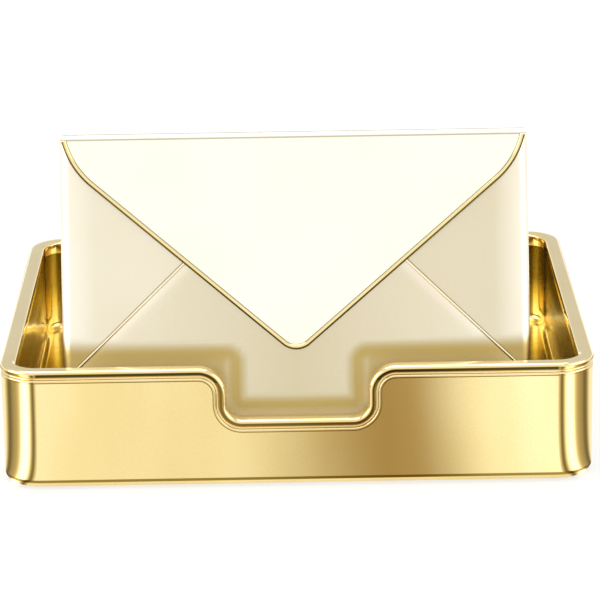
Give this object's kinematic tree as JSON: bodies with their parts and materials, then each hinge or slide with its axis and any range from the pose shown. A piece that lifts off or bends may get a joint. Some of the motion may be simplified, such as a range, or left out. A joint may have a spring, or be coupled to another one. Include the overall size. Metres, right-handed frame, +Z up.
{
  "type": "letter tray with a standing envelope case",
  "caption": "Round-cornered letter tray with a beaded rim and a finger notch, holding an envelope-shaped letter case that leans back and lifts out; its pointed flap is hinged.",
  "frame": {"origin": "middle of the tray's footprint, on the surface that its feet stand on", "axes": "+X along the front to the right, -Y towards the front wall with the finger notch, +Z up"},
  "size_m": [0.33, 0.256, 0.1852],
  "materials": {
    "gold_shell": "polished",
    "gold_liner": "polished",
    "gold_bead": "polished",
    "cream_leaf": "satin",
    "cream_flap": "satin",
    "cream_seam": "satin",
    "brass_hinge": "satin",
    "steel": "zinc plated",
    "rubber": "matt"
  },
  "bodies": {
    "tray": {"outer_shell": "gold_shell", "inner_liner": "gold_liner", "rim_bead": "gold_bead", "floor_posts": "steel", "post_screws": "steel", "front_left_foot": "rubber", "front_right_foot": "rubber", "rear_left_foot": "rubber", "rear_right_foot": "rubber", "case_socket": "gold_liner", "socket_pad": "rubber", "socket_screws": "steel", "socket_nuts": "steel"},
    "letter_case": {"case_back": "cream_leaf", "left_leaf": "cream_leaf", "right_leaf": "cream_leaf", "bottom_leaf": "cream_leaf", "left_seam_bead": "cream_seam", "right_seam_bead": "cream_seam", "leaf_rivets": "cream_leaf", "case_hinge_leaf": "brass_hinge", "case_hinge_rivets": "brass_hinge", "hinge_pin": "steel"},
    "flap": {"flap_panel": "cream_flap", "flap_edge_bead": "gold_bead", "flap_hinge_leaf": "brass_hinge", "flap_hinge_rivets": "brass_hinge"}
  },
  "joints": [
    {"name": "case_lift", "type": "slide", "parent": "tray", "child": "letter_case", "axis": [0, 0.3132, 0.9497], "range_m": [0, 0.08]},
    {"name": "flap_hinge", "type": "hinge", "parent": "letter_case", "child": "flap", "pos_m": [0, -0.04439, 0.17912], "axis": [-1, 0, 0], "range_deg": [0, 180]}
  ]
}
